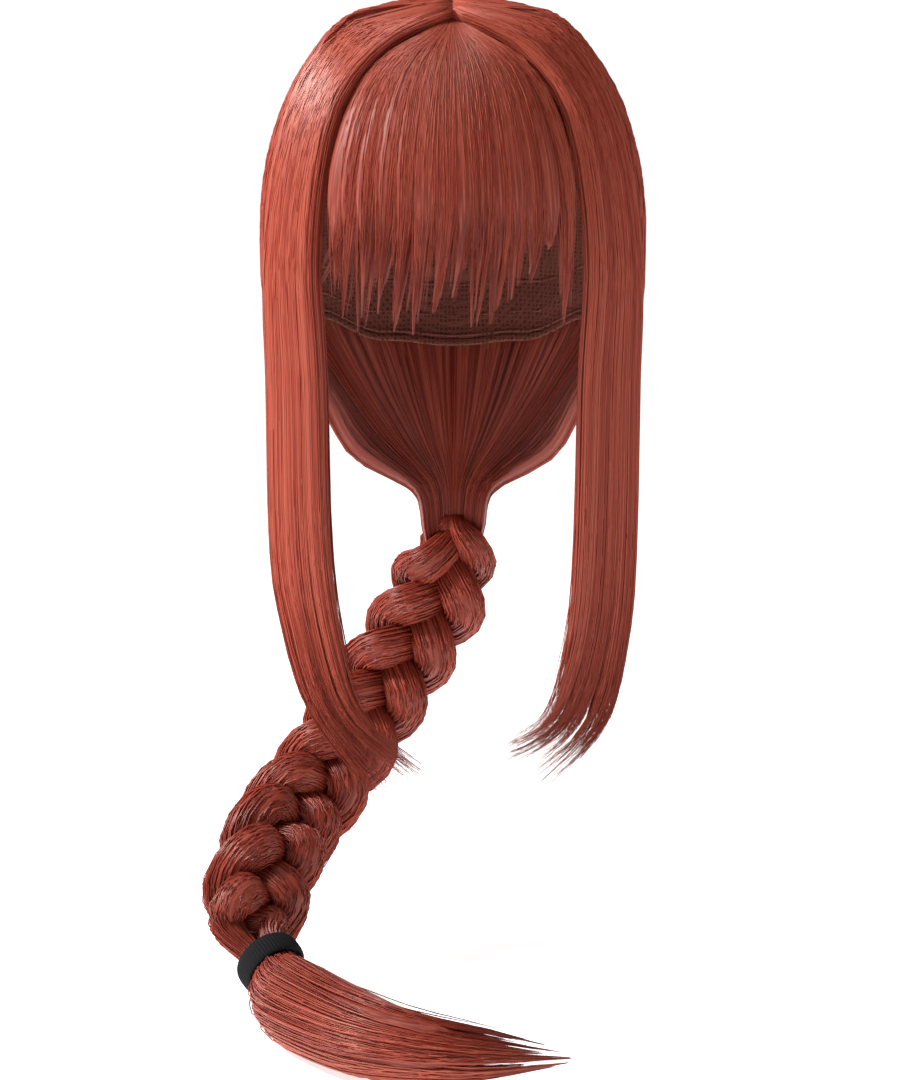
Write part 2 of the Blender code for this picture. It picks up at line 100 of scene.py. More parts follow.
# Crown hair on the right: three flow lines from parting to nape. Each point is
# (across, back, down) as shares of half the cap's width, half its depth and NAPE_DROP.
CROWN_FLOWS = (
    (
        (0.0, -0.25, 0.0),
        (0.54, -0.385, -0.04),
        (0.82, -0.44, -0.22),
        (0.93, -0.425, -0.45),
        (0.97, -0.20, -0.62),
        (0.72, 0.18, -0.78),
        (0.56, 0.42, -0.90),
        (0.24, 0.68, -1.00),
        (0.18, 0.73, -1.07),
    ),
    (
        (0.0, 0.10, 0.0),
        (0.50, 0.20, -0.04),
        (0.84, 0.30, -0.20),
        (0.93, 0.36, -0.42),
        (0.86, 0.50, -0.60),
        (0.62, 0.64, -0.77),
        (0.38, 0.72, -0.90),
        (0.14, 0.76, -1.00),
        (0.10, 0.77, -1.07),
    ),
    (
        (0.0, 0.40, 0.0),
        (0.0, 0.66, -0.06),
        (0.0, 0.90, -0.22),
        (0.0, 0.99, -0.42),
        (0.0, 0.95, -0.60),
        (0.0, 0.87, -0.77),
        (0.0, 0.81, -0.90),
        (0.0, 0.78, -1.00),
        (0.0, 0.77, -1.07),
    ),
)

# Route of a fringe lock from the parting to the brow: share of its place across,
# share of FRINGE_DROP
FRINGE_ROUTE = ((0.05, 0.025), (0.12, 0.07), (0.63, 0.19), (0.90, 0.41), (1.00, 0.66))

# Fringe locks: across at the brow and at the tip as shares of half the hair's width,
# tip height and width as shares of FRINGE_DROP and FRINGE_LOCK_WIDTH
FRINGE_LOCKS = (
    (-0.565, -0.59, 0.87, 0.95),
    (-0.50, -0.54, 0.93, 1.00),
    (-0.42, -0.46, 1.00, 1.00),
    (-0.33, -0.38, 0.98, 0.92),
    (-0.24, -0.30, 0.97, 0.92),
    (-0.15, -0.19, 0.975, 1.00),
    (-0.05, -0.11, 0.93, 1.00),
    (0.05, -0.02, 0.91, 1.00),
    (0.14, 0.10, 0.96, 1.00),
    (0.23, 0.19, 0.945, 0.96),
    (0.31, 0.28, 0.92, 0.92),
    (0.39, 0.37, 0.82, 0.90),
    (0.475, 0.465, 0.72, 0.90),
    (0.562, 0.54, 0.96, 0.80),
)

# Side locks: edge nearer the face and edge nearer the ear. Each point is (across, back, down)
# as shares of half the hair's width, half its depth and LOCK_DROP.
INNER_EDGE = (
    (0.03, -0.52, 0.0),
    (0.34, -0.60, -0.05),
    (0.57, -0.69, -0.13),
    (0.67, -0.72, -0.29),
    (0.64, -0.70, -0.45),
    (0.62, -0.68, -0.66),
)
OUTER_EDGE = (
    (0.03, -0.27, 0.0),
    (0.52, -0.40, -0.03),
    (0.80, -0.44, -0.14),
    (0.925, -0.45, -0.30),
    (0.925, -0.45, -0.47),
    (0.92, -0.46, -0.67),
)
LEFT_INNER_END = ((0.55, -0.70, -0.79), (0.41, -0.74, -0.885), (0.04, -0.78, -0.945))
LEFT_OUTER_END = ((0.87, -0.50, -0.765), (0.73, -0.58, -0.885), (0.40, -0.66, -1.0))
RIGHT_INNER_END = ((0.57, -0.70, -0.79), (0.42, -0.74, -0.885), (0.13, -0.78, -0.91))
RIGHT_OUTER_END = ((0.89, -0.50, -0.785), (0.79, -0.58, -0.90), (0.49, -0.66, -0.985))

# Name, side and edges of each side lock
SIDE_LOCKS = (
    ("left", -1, (INNER_EDGE + LEFT_INNER_END, OUTER_EDGE + LEFT_OUTER_END)),
    ("right", 1, (INNER_EDGE + RIGHT_INNER_END, OUTER_EDGE + RIGHT_OUTER_END)),
)

# Strands of a side lock: place between its two edges, and length as a share of the edge's
LOCK_STRANDS = ((0.16, 0.985), (0.33, 1.00), (0.50, 0.975), (0.67, 0.99), (0.84, 1.00))

# Braid route from nape to tie, and tail route from the tie: across, back and down
# as shares of half the hair's width, half its depth and BRAID_DROP
BRAID_ROUTE = (
    (0.0, 0.73, 0.0),
    (-0.01, 0.735, -0.09),
    (-0.09, 0.76, -0.20),
    (-0.35, 0.745, -0.39),
    (-0.68, 0.62, -0.61),
    (-0.90, 0.40, -0.72),
    (-0.98, 0.17, -0.768),
    (-1.055, 0.0, -0.85),
    (-1.06, -0.175, -0.93),
    (-0.96, -0.30, -0.978),
)
TAIL_ROUTE = (
    (-0.86, -0.60, -0.995),
    (-0.76, -0.92, -0.985),
    (-0.44, -1.32, -0.985),
    (-0.107, -1.48, -0.99),
    (0.23, -1.415, -1.012),
    (0.595, -1.26, -1.044),
)
# Tail form: share of the length, half width as a share of half TAIL_WIDTH
TAIL_FORM = ((0, 0.62), (0.05, 0.62), (0.13, 0.84), (0.30, 1.02), (0.55, 0.96), (0.80, 0.66), (1, 0.16))

# Hair colours, in linear light
HAIR_DEEP = np.array((0.085, 0.009, 0.005))
HAIR_MIDDLE = np.array((0.350, 0.046, 0.024))
HAIR_LIGHT = np.array((0.580, 0.142, 0.086))

# Strands of each kind: how many in a lock, rings along each, and radius
CROWN_STRANDS = (850, 22, 0.00032)
FRINGE_STRANDS = (100, 12, 0.00027)
FRINGE_WISP_STRANDS = (18, 12, 0.00025)
SIDE_STRANDS = (150, 20, 0.00031)
SIDE_WISP_STRANDS = (34, 20, 0.00028)
BACK_WISP_STRANDS = (34, 20, 0.00030)
BRAID_STRANDS = (150, 58, 0.00040)
TAIL_STRANDS = (850, 15, 0.00034)
FINE_STEPS = 96
RADIUS_RANGE = (0.7, 1.25)  # from strand to strand, as shares of the radius
THIN_TIP = 0.15  # radius at the tip of a strand, as a share of its own

# How the strands lie in each kind of lock, in the words of lock_hair
FRINGE_LIE = {"gather": 0.45, "short": 0.22, "clumps": 4, "outside": 0.72}
FRINGE_WISP_LIE = {"gather": 0.5, "short": 0.25, "clumps": 2, "outside": 0.8}
SIDE_LIE = {"gather": 0.35, "short": 0.2, "clumps": 9, "outside": 0.65, "tip_from": 0.68, "as_one": 0.2}
SIDE_WISP_LIE = SIDE_LIE | {"clumps": 3, "outside": 0.7}
BRAID_LIE = {"gather": 0.1, "short": 0, "clumps": 8, "wander": 0.02, "tip_from": 1}
TAIL_LIE = {"gather": 0.6, "short": 0.25, "clumps": 22, "wander": 0.03}

# Strands in a lock: the part of its section that they lie in, the part that the clumps' middles
# lie in, where they start to gather, and the share of them that strays, with how much farther
LOCK_SKIN = (0.66, 1)
CLUMP_MIDDLES = (0.1, 0.9)
GATHER_FROM = 0.35
STRAY_SHARE = 0.04
STRAY_MORE = 4
UNEVEN_POWER = 1.5

# Slow waves along a strand, in cycles at most: its sway in a lock and in the crown hair, its shade
LOCK_WAVES = 1.2
CROWN_WAVES = 1.5
SHADE_WAVES = 3

# Shades from 0 for deep to 1 for light. The spreads are those from strand to strand and from
# clump to clump, with the slow change along a strand.
MIDDLE_SHADE = 0.5
LOCK_SHADES = (0.11, 0.07, 0.04)
CROWN_SHADES = (0.10, 0.06, 0.05)
# Painted light and shade in a lock: lighter towards its outer face, darker towards its inner face
OUTER_FACE_PAINTED_LIGHT = 0.08  # from the middle of a lock to its outer face
# Painted shade by depth in the crown hair: its outer strands painted lighter outwards, and those on its
# inner face painted darker
DEPTH_PAINTED_SHADE = 0.25  # from the inner to the outer face of the crown hair
LEVEL_DEPTH = 0.95  # depth at which a strand of the crown hair keeps its own shade
INNER_PAINTED_SHADE = 0.2

# Crown hair: clumps, the share of strands on its inner face, and the layers on both faces
# as shares of its thickness
CROWN_CLUMPS = 34
INNER_SHARE = 0.14
INNER_LAYER = 0.06
OUTERMOST = 1.02
OUTER_LAYER = 0.14
SWAY_ACROSS = 0.002
SWAY_DEPTH = 0.012
CROWN_TIP_FROM = 0.95
BACK_OVERLAP = 0.0008  # how far the halves run into each other at the back
BACK_SHARE = 0.07

# Smooth body under the crown strands: rings and columns, its edges as shares across,
# and its inner and outer depth
CROWN_BODY_GRID = (44, 48)
CROWN_BODY_EDGES = (0.004, 0.999)
CROWN_BODY_DEPTHS = (0.06, 0.90)

# Streaks in the bodies of hair: how much longer than wide they are, the length and the width
# of the crown hair, and a shift that gives its inner face others
FLOW_STRETCH = 45
CROWN_LENGTH = 0.3
CROWN_SPAN = 0.15
OTHER_STREAKS = 0.1

# How much of its lock's section a body fills, and where it ends as a share of the lock's length
BODY_REACH = 0.88
FRINGE_BODY_END = 0.94
SIDE_BODY_END = 0.91
TAIL_BODY_END = 0.88

# Wisps between the locks: first place, last place, how many, and shift from even places
FRINGE_WISPS = (-0.57, 0.57, 26, 0.015)
SIDE_WISPS = (0.09, 0.9, 12, 0.03)
WISP_LEAN = (0.05, 0.15)
WISP_UPRIGHT = 0.6  # place in the fringe where a wisp would hang upright
WISP_DROP = (0.86, 1.02)
WISP_WIDTH = 0.5
SIDE_WISP_LENGTH = (0.93, 1.0)

# Wisps behind a side lock: the share of BEHIND_EDGE by which each lies past BACK_WISP_PLACE
BACK_WISPS = (0.4, 0.7, 1)
BACK_WISP_PLACE = 0.9
BACK_WISP_LENGTH = 0.95

# Half width of a strand and of a wisp in a side lock, as shares of its width
LOCK_HALF = 0.165
WISP_HALF = 0.09

# Fringe lock: half width as a share of its width, and how it narrows to its point
FRINGE_HALF_SHARE = 0.66
FRINGE_POINT_FROM = 0.66
FRINGE_POINT_POWER = 1.3
FRINGE_NARROWING = 0.88
FRINGE_TIP_THICKNESS = 0.4

# Changes along a line: start and end as shares of its length, value before and value after
FRONT_COVER_FADE = (0.3, 0.6, 1, 0)
CROWN_GATHER = (0.05, 0.6, 0, 0.5)
# Painted shade at the tips of the strands in the locks: darker towards each tip
TIP_PAINTED_SHADE = (0.6, 1, 0, 0.10)
BODY_CLOSING = (0.76, 1, 1, 0.15)
FRINGE_WIDENING = (0, 0.55, 0.35, 1)
LOCK_LEAVES_PARTING = (0, 0.1, 0, PARTING_GAP)
ROOTS_TO_MIDDLE = (0, 0.06, 0.3, 1)
LOCK_UPRIGHT = (0.35, 0.6, 1, 0)
LOCK_TAPER = (0.76, 1, 1, 0.55)
LOCK_RISE = (0, 0.15, 0.4, 1)
BEHIND_EDGE = (0.2, 0.45, 0.17, 0)

# Braid, as shares of its length: where it has left the nape, where it is fully open,
# where it closes towards the tie, and where its turns start and end
BRAID_LEFT = 0.05
BRAID_OPEN = 0.12
BRAID_CLOSING = (0.90, 0.97)
BRAID_TURNING = (0.02, 0.92)
# Spread of the weave and size of its strands: share at the nape, what is added by the place
# where the braid has left it, and what is added by the place where it is open
WEAVE_SPREAD = (0.12, 0.33, 0.55)
STRAND_SIZE = (0.34, 0.28, 0.38)
# Half sizes of a strand as shares of STRAND_WIDTH and STRAND_THICKNESS, so that strands press together
STRAND_HALF_WIDTH = 0.78
STRAND_HALF_THICKNESS = 0.70

# Where the crown hair runs on into the braid: share of the braid, and how far the hair draws in
NAPE_JOIN = ((0.02, 0.97), (0.05, 0.86), (0.085, 0.68), (0.12, 0.45))

# Elastic tie: ribs, their height, steps round it, sides of its section, and the power that
# gives it flat faces, where 1 is round
TIE_RIBS = 60
TIE_RIB = 0.00022
TIE_STEPS = 4 * TIE_RIBS
TIE_SIDES = 24
TIE_SECTION_POWER = 0.7

# Sewn rows in the cap: spaces from crown to edge, the first row, half sizes, how far inside
# the cap's wall, steps round it and sides of their section
WEFT_ROWS = 11
FIRST_WEFT = 3
WEFT_HALF = 0.0009
WEFT_THICK = 0.0005
WEFT_LIFT = -0.0003
WEFT_STEPS = 120
WEFT_SIDES = 6
BINDING = (0.985, 0.0022)  # its place from crown to edge, and half its width

# Colours along ramps, in linear light: place and colour
STREAK_COLOURS = ((0.33, HAIR_DEEP * 1.3), (0.5, HAIR_MIDDLE * 0.7), (0.70, HAIR_LIGHT * 0.76))
# Colour of the net's threads, then the darker colour of its open cells, which is painted shade
NET_COLOURS = ((0.05, (0.27, 0.085, 0.058)), (0.28, (0.10, 0.024, 0.016)))
ELASTIC_COLOURS = ((0, (0.003, 0.003, 0.004)), (1, (0.012, 0.012, 0.014)))

# Light of the room by the direction that it comes from: where it starts and ends to change
# along that axis, and its strength before and after
WORLD_FADES = (
    ("X", 0.2, 0.8, 1.0, 0.55),
    ("Y", -0.7, 0.2, 0.42, 1.0),
    ("height", 0.15, 0.60, 1.02, 0.35),
)

# Lamps: name, place, width and power
LIGHTS = (
    ("key", (-1.5, -0.25, 1.0), 0.4, 41),
    ("top", (-0.3, -0.2, 1.3), 0.5, 6),
)
LIGHT_TARGET = (0, 0, -0.2)

# Floor under the lowest solid
FLOOR_SIZE = 80
FLOOR_GAP = 0.0015
FLOOR_LOOKS = {
    "Base Color": (0.93, 0.93, 0.93, 1),
    "Roughness": 0.9,
    "Emission Color": (1, 1, 1, 1),
    "Emission Strength": 0.72,
}

NO_TRIANGLES = np.zeros((0, 3), int)


def unit(vectors):
    return vectors / np.maximum(np.linalg.norm(vectors, axis=-1, keepdims=True), 1e-12)


def smooth_step(low, high, value):
    part = np.clip((value - low) / (high - low), 0, 1)
    return part * part * (3 - 2 * part)


def blend(along, start, end, before, after):
    """From one value before start to another after end, easing between them."""
    return before + (after - before) * smooth_step(start, end, along)


def level(points, lift):
    """1 on the head form grown by lift, less inside it."""
    half = HEAD_HALF + np.asarray(lift)[..., None]
    total = (np.abs((points - HEAD_CENTRE) / half) ** FORM_POWER).sum(-1)
    return total ** (1 / FORM_POWER)


def hug(points, lift):
    """The points pushed out to the head form grown by lift, and left alone well outside it."""
    now = level(points, lift)
    eased = 1 + (now - 1 + FORM_BLEND) ** 2 / (4 * FORM_BLEND)
    pushed = np.where(np.abs(now - 1) < FORM_BLEND, eased, np.maximum(now, 1))
    return HEAD_CENTRE + (points - HEAD_CENTRE) * (pushed / now)[..., None]


def form_front(across, down, lift):
    """The points on the face side of the grown head form."""
    half = HEAD_HALF + lift
    used = np.abs(across / half[0]) ** FORM_POWER
    used = used + np.abs((down - HEAD_CENTRE[2]) / half[2]) ** FORM_POWER
    depth = half[1] * np.maximum(1 - used, 0.02) ** (1 / FORM_POWER)
    return np.stack([across, -depth, down], -1)


def form_round(turn, down, lift):
    """The points of the grown head form at these turns from the face and these heights."""
    half = HEAD_HALF + lift
    reach = np.maximum(1 - np.abs((down - HEAD_CENTRE[2]) / half[2]) ** FORM_POWER, 0)
    reach = reach ** (1 / FORM_POWER)
    across, front = np.sin(turn), -np.cos(turn)
    total = np.abs(across / half[0]) ** FORM_POWER + np.abs(front / half[1]) ** FORM_POWER
    radius = reach / total ** (1 / FORM_POWER)
    return np.stack([across * radius, front * radius, down], -1)


def curve_between(before, start, end, after, part):
    """A smooth curve from start to end, with the points on either side of them."""
    cubic = -before + 3 * start - 3 * end + after
    square = 2 * before - 5 * start + 4 * end - after
    return start + 0.5 * part * (end - before + part * (square + part * cubic))


def along_rows(rows, shares):
    """The rows at these shares of the way along a table, read from a smooth curve through it."""
    rows = np.asarray(rows, float)
    place = np.clip(shares, 0, 1) * (len(rows) - 1)
    index = np.minimum(place.astype(int), len(rows) - 2)
    last = len(rows) - 1
    picked = [rows[np.clip(index + step, 0, last)] for step in (-1, 0, 1, 2)]
    return curve_between(*picked, (place - index)[..., None])


def read_line(values, shares):
    """Values given at even steps, read straight between them at these shares."""
    place = np.clip(shares, 0, 1) * (len(values) - 1)
    index = np.minimum(place.astype(int), len(values) - 2)
    part = place - index
    if values.ndim > 1:
        part = part[..., None]
    return values[index] * (1 - part) + values[index + 1] * part


def evenly(rows, count):
    """Points at even distances along the smooth curve through the rows."""
    fine = along_rows(rows, np.linspace(0, 1, 12 * len(rows) + 1))
    reached = np.concatenate([[0], np.cumsum(np.linalg.norm(np.diff(fine, axis=0), axis=1))])
    wanted = np.linspace(0, reached[-1], count + 1)
    return np.stack([np.interp(wanted, reached, fine[:, axis]) for axis in range(3)], -1)


def tangents(points):
    """The direction of the lines through the points at each of them."""
    ahead = np.concatenate([points[..., 1:, :], points[..., -1:, :]], -2)
    behind = np.concatenate([points[..., :1, :], points[..., :-1, :]], -2)
    return unit(ahead - behind)


def square_to(directions, tangent):
    """The directions turned square to the tangent."""
    return unit(directions - tangent * (directions * tangent).sum(-1, keepdims=True))


def frames_along(points, first_out):
    """Tangent, outward and sideways directions at each point, turning as little as they can."""
    tangent = tangents(points)
    outs = []
    out = np.array(first_out, float)
    for direction in tangent:
        out = square_to(out, direction)
        outs.append(out)
    outs = np.array(outs)
    return tangent, outs, np.cross(tangent, outs)


def placed(shares, drop, side=1, half=HAIR_HALF):
    return np.asarray(shares) * (side * half[0], half[1], drop)


def mesh_piece(name, vertices, quads, triangles, material, colours=None):
    """A smooth-shaded mesh object from arrays."""
    mesh = bpy.data.meshes.new(name)
    corners = np.concatenate([quads.ravel(), triangles.ravel()]).astype(np.int32)
    starts = np.concatenate([
        np.arange(len(quads)) * 4,
        len(quads) * 4 + np.arange(len(triangles)) * 3,
    ]).astype(np.int32)
    mesh.vertices.add(len(vertices))
    mesh.vertices.foreach_set("co", vertices.astype(np.float32).ravel())
    mesh.loops.add(len(corners))
    mesh.loops.foreach_set("vertex_index", corners)
    mesh.polygons.add(len(starts))
    mesh.polygons.foreach_set("loop_start", starts)
    mesh.update(calc_edges=True)
    mesh.validate()
    if colours is not None:
        layer = mesh.color_attributes.new("hair_colour_and_shade", "FLOAT_COLOR", "POINT")
        opaque = np.ones((len(vertices), 4), np.float32)
        opaque[:, :3] = colours
        layer.data.foreach_set("color", opaque.ravel())
    mesh.shade_smooth()
    mesh.materials.append(material)
    piece = bpy.data.objects.new(name, mesh)
    bpy.context.scene.collection.objects.link(piece)
    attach(piece, "root")
    return piece


def hair_tubes(name, paths, outs, radii, shades, material):
    """Closed three-sided tubes, one along each path, with a shade at each of their rings."""
    strands, rings = radii.shape
    tangent = tangents(paths)
    out = square_to(outs, tangent)
    side = np.cross(tangent, out)
    corners = []
    for turn in (TAU / 4, TAU * 7 / 12, TAU * 11 / 12):
        corners.append(side * math.cos(turn) + out * math.sin(turn))
    ring = paths[:, :, None] + np.stack(corners, 2) * radii[:, :, None, None]
    index = np.arange(strands * rings * 3).reshape(strands, rings, 3)
    after = np.roll(index, -1, axis=2)
    quads = np.stack([index[:, :-1], index[:, 1:], after[:, 1:], after[:, :-1]], -1)
    ends = np.concatenate([index[:, 0], index[:, -1, ::-1]])
    # The hair's own tones per strand, with the painted light and shade of depth, outer face and tips
    colours = hair_colour_and_shade(np.repeat(shades[:, :, None], 3, axis=2).reshape(-1))
    return mesh_piece(name, ring.reshape(-1, 3), quads.reshape(-1, 4), ends, material, colours)


def hair_colour_and_shade(shade):
    """From deep to light through the middle colour, for shades from 0 to 1."""
    shade = np.clip(shade, 0, 1)[:, None]
    low = HAIR_DEEP + (HAIR_MIDDLE - HAIR_DEEP) * np.minimum(shade * 2, 1)
    return low + (HAIR_LIGHT - HAIR_MIDDLE) * np.maximum(shade * 2 - 1, 0)


def waves(rng, along, count, cycles):
    """Slow sideways waves, one for each strand, growing from the root."""
    phase = rng.uniform(0, TAU, (count, 1))
    rate = rng.uniform(0.5, 1, (count, 1)) * cycles
    return np.sin(TAU * rate * along + phase) * smooth_step(0, 0.3, along)


def ring_places(rng, count, rings):
    """Even places along each strand, those between its ends shifted a little from its neighbours'."""
    places = np.linspace(0, 1, rings)[None] * np.ones((count, 1))
    places[:, 1:-1] += rng.uniform(-0.45, 0.45, (count, 1)) / (rings - 1)
    return places


def spread_places(rng, low, high, count, shift):
    """Even places from low to high, each of them shifted a little."""
    return np.linspace(low, high, count) + rng.uniform(-shift, shift, count)


def strand_sizes(rng, along_strand, count, radius, tip_from):
    """Radius at each ring: a little different for each strand, and thin at the tip."""
    size = radius * rng.uniform(*RADIUS_RANGE, (count, 1)) * np.ones_like(along_strand)
    if tip_from < 1:
        size = size * blend(along_strand, tip_from, 1, 1, THIN_TIP)
    return size


def lock_hair(
    rng,
    line,
    strands,
    gather,
    short,
    clumps,
    wander=0.025,
    tip_from=0.8,
    outside=None,
    as_one=0.6,
):
    """Strands in one lock. line holds its middle, its two directions and its half sizes.

    gather is how far they draw together into clumps towards the tips.
    short is the share of its length that the shortest may lack.
    clumps is how many clumps there are.
    wander is how far they sway, as a share of the lock's half size.
    tip_from is the share of a strand's length after which it thins.
    outside is the share of them on the outer face, spread evenly across it. Without it they go all round.
    as_one is how much of the unevenness in length a clump of them shares.
    """
    count, rings, radius = strands
    strand_spread, clump_spread, slow_change = LOCK_SHADES
    own = ring_places(rng, count, rings)
    turn = rng.uniform(0, TAU, count)
    if outside is not None:
        turn = np.arccos(rng.uniform(-1, 1, count)) * np.where(rng.random(count) < outside, 1, -1)
    reach = np.sqrt(rng.uniform(*LOCK_SKIN, count))
    spot = np.stack([np.cos(turn), np.sin(turn)], -1) * reach[:, None]
    clump_turn = rng.uniform(0, TAU, clumps)
    clump_spot = np.stack([np.cos(clump_turn), np.sin(clump_turn)], -1)
    clump_spot *= np.sqrt(rng.uniform(*CLUMP_MIDDLES, clumps))[:, None]
    nearest = np.argmin(np.linalg.norm(spot[:, None] - clump_spot[None], axis=2), axis=1)
    uneven = as_one * rng.random(clumps)[nearest] + (1 - as_one) * rng.random(count) ** UNEVEN_POWER
    along = own * (1 - short * uneven)[:, None]
    pull = gather * smooth_step(GATHER_FROM, 1, along)
    stray = wander * (1 + STRAY_MORE * (rng.random((count, 1)) < STRAY_SHARE))
    places = []
    for axis in range(2):
        start = spot[:, axis, None]
        goal = clump_spot[nearest, axis, None]
        places.append(start + (goal - start) * pull + stray * waves(rng, along, count, LOCK_WAVES))
    centre, across, out, half, thick = line
    points = read_line(centre, along)
    points = points + read_line(across, along) * (places[0] * read_line(half, along))[..., None]
    points = points + read_line(out, along) * (places[1] * read_line(thick, along))[..., None]
    clump_shade = rng.normal(0, clump_spread, clumps)[nearest][:, None]
    shade = MIDDLE_SHADE + rng.normal(0, strand_spread, (count, 1)) + clump_shade
    # Painted light on the outer face of a lock and painted shade on its inner face
    shade = shade + OUTER_FACE_PAINTED_LIGHT * places[1] + slow_change * waves(rng, along, count, SHADE_WAVES)
    # Painted shade, darker towards each strand's tip
    shade = shade - blend(own, *TIP_PAINTED_SHADE)
    sizes = strand_sizes(rng, own, count, radius, tip_from)
    return points, read_line(out, along), sizes, shade


def joined(parts):
    return [np.concatenate(columns) for columns in zip(*parts)]


def crown_place(side, across, depth, along):
    """Points of the crown hair: across its flow lines, from the cap outwards, and along."""
    lines = np.stack([along_rows(flow, along) for flow in CROWN_FLOWS])
    place = np.clip(across, 0, 1) * 2
    index = np.minimum(place.astype(int), 1)
    picked = []
    for step in (-1, 0, 1, 2):
        wanted = np.clip(index + step, 0, 2)[None, ..., None]
        picked.append(np.take_along_axis(lines, wanted, 0)[0])
    shares = curve_between(*picked, (place - index)[..., None])
    points = placed(shares, NAPE_DROP, side, CAP_HALF)
    points[..., 0] += side * PARTING_GAP
    points[..., 1] -= FRONT_COVER * (1 - across) ** 3 * blend(along, *FRONT_COVER_FADE)
    rise = smooth_step(0, PARTING_RISE, along)
    thick = PARTING_THICKNESS + (HAIR_THICKNESS - PARTING_THICKNESS) * rise
    thick = thick - rise * RIB_DEPTH * np.sin(math.pi * RIBS * across) ** 2
    near = hug(points, UNDER_HAIR)
    out = unit(near - HEAD_CENTRE)
    out[..., 2] *= 1 - smooth_step(NAPE_LEVEL, 1, along)
    out = unit(out)
    outer = hug(near + out * thick[..., None], UNDER_HAIR + thick)
    return near + (outer - near) * depth[..., None], out


def run_on(lines):
    """Lines of the crown hair, each carried on into the braid and drawn in."""
    braid = evenly(below_nape(BRAID_ROUTE), FINE_STEPS)
    beyond = []
    for share, draw_in in NAPE_JOIN:
        beyond.append(read_line(braid, np.array(share)) + (lines[:, -1] - braid[0]) * draw_in)
    return np.concatenate([lines, np.stack(beyond, 1)], 1)


def held_on(values):
    """Values along the crown hair, the last one kept where it runs on into the braid."""
    return np.concatenate([values, np.repeat(values[:, -1:], len(NAPE_JOIN), 1)], 1)


def crown_hair(name, side, material, seed):
    rng = np.random.default_rng(seed)
    count, rings, radius = CROWN_STRANDS
    strand_spread, clump_spread, slow_change = CROWN_SHADES
    own = ring_places(rng, count, rings)
    root = rng.random((count, 1))
    middles = (np.arange(CROWN_CLUMPS) + rng.uniform(0.2, 0.8, CROWN_CLUMPS)) / CROWN_CLUMPS
    nearest = np.argmin(np.abs(root - middles[None]), axis=1)
    across = root + (middles[nearest][:, None] - root) * blend(own, *CROWN_GATHER)
    across = across + SWAY_ACROSS * waves(rng, own, count, CROWN_WAVES)
    inner = rng.random((count, 1)) < INNER_SHARE
    inner_depth = INNER_LAYER * rng.random((count, 1))
    outer_depth = OUTERMOST - OUTER_LAYER * rng.random((count, 1))
    depth = np.where(inner, inner_depth, outer_depth) + SWAY_DEPTH * waves(rng, own, count, CROWN_WAVES)
    points, out = crown_place(side, np.clip(across, 0, 1), depth, own)
    points[..., 0] -= side * BACK_OVERLAP * np.maximum(across - 1 + BACK_SHARE, 0) / BACK_SHARE
    points = run_on(points)
    own = np.linspace(0, 1, points.shape[1])[None] * np.ones((count, 1))
    depth = held_on(depth)
    sizes = strand_sizes(rng, own, count, radius, CROWN_TIP_FROM)
    shade = MIDDLE_SHADE + rng.normal(0, strand_spread, (count, 1))
    shade = shade + rng.normal(0, clump_spread, CROWN_CLUMPS)[nearest][:, None]
    # Painted shade: darker deeper in the crown hair, darkest on its inner face
    shade = shade + np.where(depth > 0.5, DEPTH_PAINTED_SHADE * (depth - LEVEL_DEPTH), -INNER_PAINTED_SHADE)
    shade = shade + slow_change * waves(rng, own, count, SHADE_WAVES)
    return hair_tubes(name, points, held_on(out), sizes, shade, material)


def fringe_line(brow, tip, tip_drop, width_share):
    brow_across = brow * HAIR_HALF[0]
    route = [(brow_across * across, -FRINGE_DROP * down) for across, down in FRINGE_ROUTE]
    route.append((tip * HAIR_HALF[0], -FRINGE_DROP * tip_drop))
    along = np.linspace(0, 1, FINE_STEPS)
    flat = along_rows(route, along)
    centre = form_front(flat[:, 0], flat[:, 1], UNDER_LOCKS + FRINGE_LOCK_THICKNESS / 2)
    tangent = tangents(centre)
    out = square_to(centre - HEAD_CENTRE, tangent)
    pointed = np.clip((along - FRINGE_POINT_FROM) / (1 - FRINGE_POINT_FROM), 0, 1) ** FRINGE_POINT_POWER
    taper = 1 - FRINGE_NARROWING * pointed
    half = FRINGE_LOCK_WIDTH * width_share * FRINGE_HALF_SHARE * blend(along, *FRINGE_WIDENING) * taper
    thick = FRINGE_LOCK_THICKNESS / 2 * (FRINGE_TIP_THICKNESS + (1 - FRINGE_TIP_THICKNESS) * taper)
    return centre, np.cross(tangent, out), out, half, thick


def fringe_hair(name, material, seed):
    rng = np.random.default_rng(seed)
    parts = [lock_hair(rng, fringe_line(*row), FRINGE_STRANDS, **FRINGE_LIE) for row in FRINGE_LOCKS]
    _, tips, drops, _ = np.array(FRINGE_LOCKS).T
    for brow in spread_places(rng, *FRINGE_WISPS):
        tip = brow - rng.uniform(*WISP_LEAN) * (WISP_UPRIGHT - brow)
        drop = np.interp(tip, tips, drops) * rng.uniform(*WISP_DROP)
        line = fringe_line(brow, tip, drop, WISP_WIDTH)
        parts.append(lock_hair(rng, line, FRINGE_WISP_STRANDS, **FRINGE_WISP_LIE))
    points, outs, sizes, shade = joined(parts)
    return hair_tubes(name, hug(points, UNDER_LOCKS), outs, sizes, shade, material)


